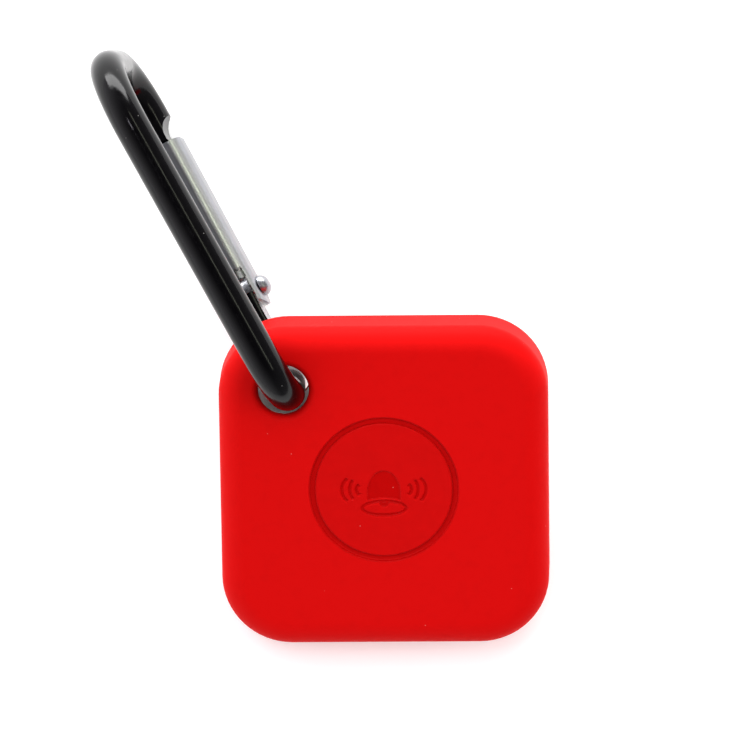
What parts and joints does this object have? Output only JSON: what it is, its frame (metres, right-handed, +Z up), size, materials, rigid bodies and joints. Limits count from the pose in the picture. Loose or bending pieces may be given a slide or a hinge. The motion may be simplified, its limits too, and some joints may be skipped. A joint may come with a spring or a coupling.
{
  "type": "bluetooth tracker tag",
  "caption": "Square tracker tag in a soft rounded sleeve with a ring-grooved press pad and a corner hole, hung on a small D carabiner with a sprung folded gate.",
  "frame": {"origin": "on the table, under the middle of the whole object's box", "axes": "+Z up from the table, +Y from the tag's lower edge towards the carabiner's nose, +X along the tag's lower edge to the right seen from above"},
  "size_m": [0.0518, 0.0682, 0.0236],
  "materials": {
    "silicone": "matte red silicone",
    "shell_plastic": "fine-grained light grey plastic",
    "seal_rubber": "black rubber",
    "foam": "dark foam",
    "board": "green solder mask",
    "chip_plastic": "moulded black resin",
    "ceramic": "unglazed ceramic",
    "plated_steel": "plated lid",
    "brass": "rolled brass",
    "contact_metal": "gold-flashed spring sheet",
    "cell_steel": "satin stainless steel",
    "cell_filling": "pressed powder",
    "black_aluminium": "semi-gloss black anodised",
    "gate_steel": "bright zinc-plated",
    "spring_steel": "drawn spring wire"
  },
  "bodies": {
    "tag": {"silicone_sleeve": "silicone", "front_housing": "shell_plastic", "back_housing": "shell_plastic", "housing_seal": "seal_rubber", "circuit_board": "board", "bluetooth_chip": "chip_plastic", "crystal": "plated_steel", "chip_antenna": "ceramic", "chip_capacitors": "ceramic", "switch_body": "chip_plastic", "sounder_ring": "foam", "sounder_plate": "brass", "sounder_ceramic": "ceramic", "sounder_springs": "contact_metal", "cell_can": "cell_steel", "cell_gasket": "seal_rubber", "cell_cap": "cell_steel", "cell_pellet": "cell_filling", "negative_contact": "contact_metal", "positive_contact": "contact_metal"},
    "button": {"press_pad": "silicone", "button_cap": "shell_plastic", "switch_plunger": "chip_plastic"},
    "cover": {"battery_cover": "shell_plastic", "cover_seal": "seal_rubber"},
    "carabiner": {"carabiner_body": "black_aluminium"},
    "gate": {"carabiner_gate": "gate_steel", "gate_rivet": "gate_steel", "gate_spring": "spring_steel"},
    "plunger": {"gate_plunger": "gate_steel"}
  },
  "joints": [
    {"name": "carabiner_swing", "type": "hinge", "parent": "tag", "child": "carabiner", "pos_m": [-0.00377, -0.00439, 0.01171], "axis": [0, -0.2676, 0.9635], "range_deg": [-85, 115]},
    {"name": "gate_pivot", "type": "hinge", "parent": "carabiner", "child": "gate", "pos_m": [-0.00875, 0.00606, 0.00449], "axis": [0.8731, 0.4789, 0.0916], "range_deg": [0, 28], "stiffness_Nm_per_rad": 0.001, "springref_deg": -68.75, "deforming": ["gate_spring"]},
    {"name": "plunger_slide", "type": "slide", "parent": "gate", "child": "plunger", "axis": [-0.4695, 0.8764, -0.1072], "range_m": [0, 0.000294]},
    {"name": "button_press", "type": "slide", "parent": "tag", "child": "button", "axis": [0, 0.2676, -0.9635], "range_m": [0, 0.00025], "stiffness_N_per_m": 6000, "springref_m": -0.00015},
    {"name": "battery_cover_turn", "type": "hinge", "parent": "tag", "child": "cover", "pos_m": [0.00713, -0.01454, 0.00547], "axis": [0, 0.2676, -0.9635], "range_deg": [0, 30]}
  ],
  "couplings": [
    {"joint": "plunger_slide", "follows": "gate_pivot", "m_per_rad": 0.0006}
  ]
}
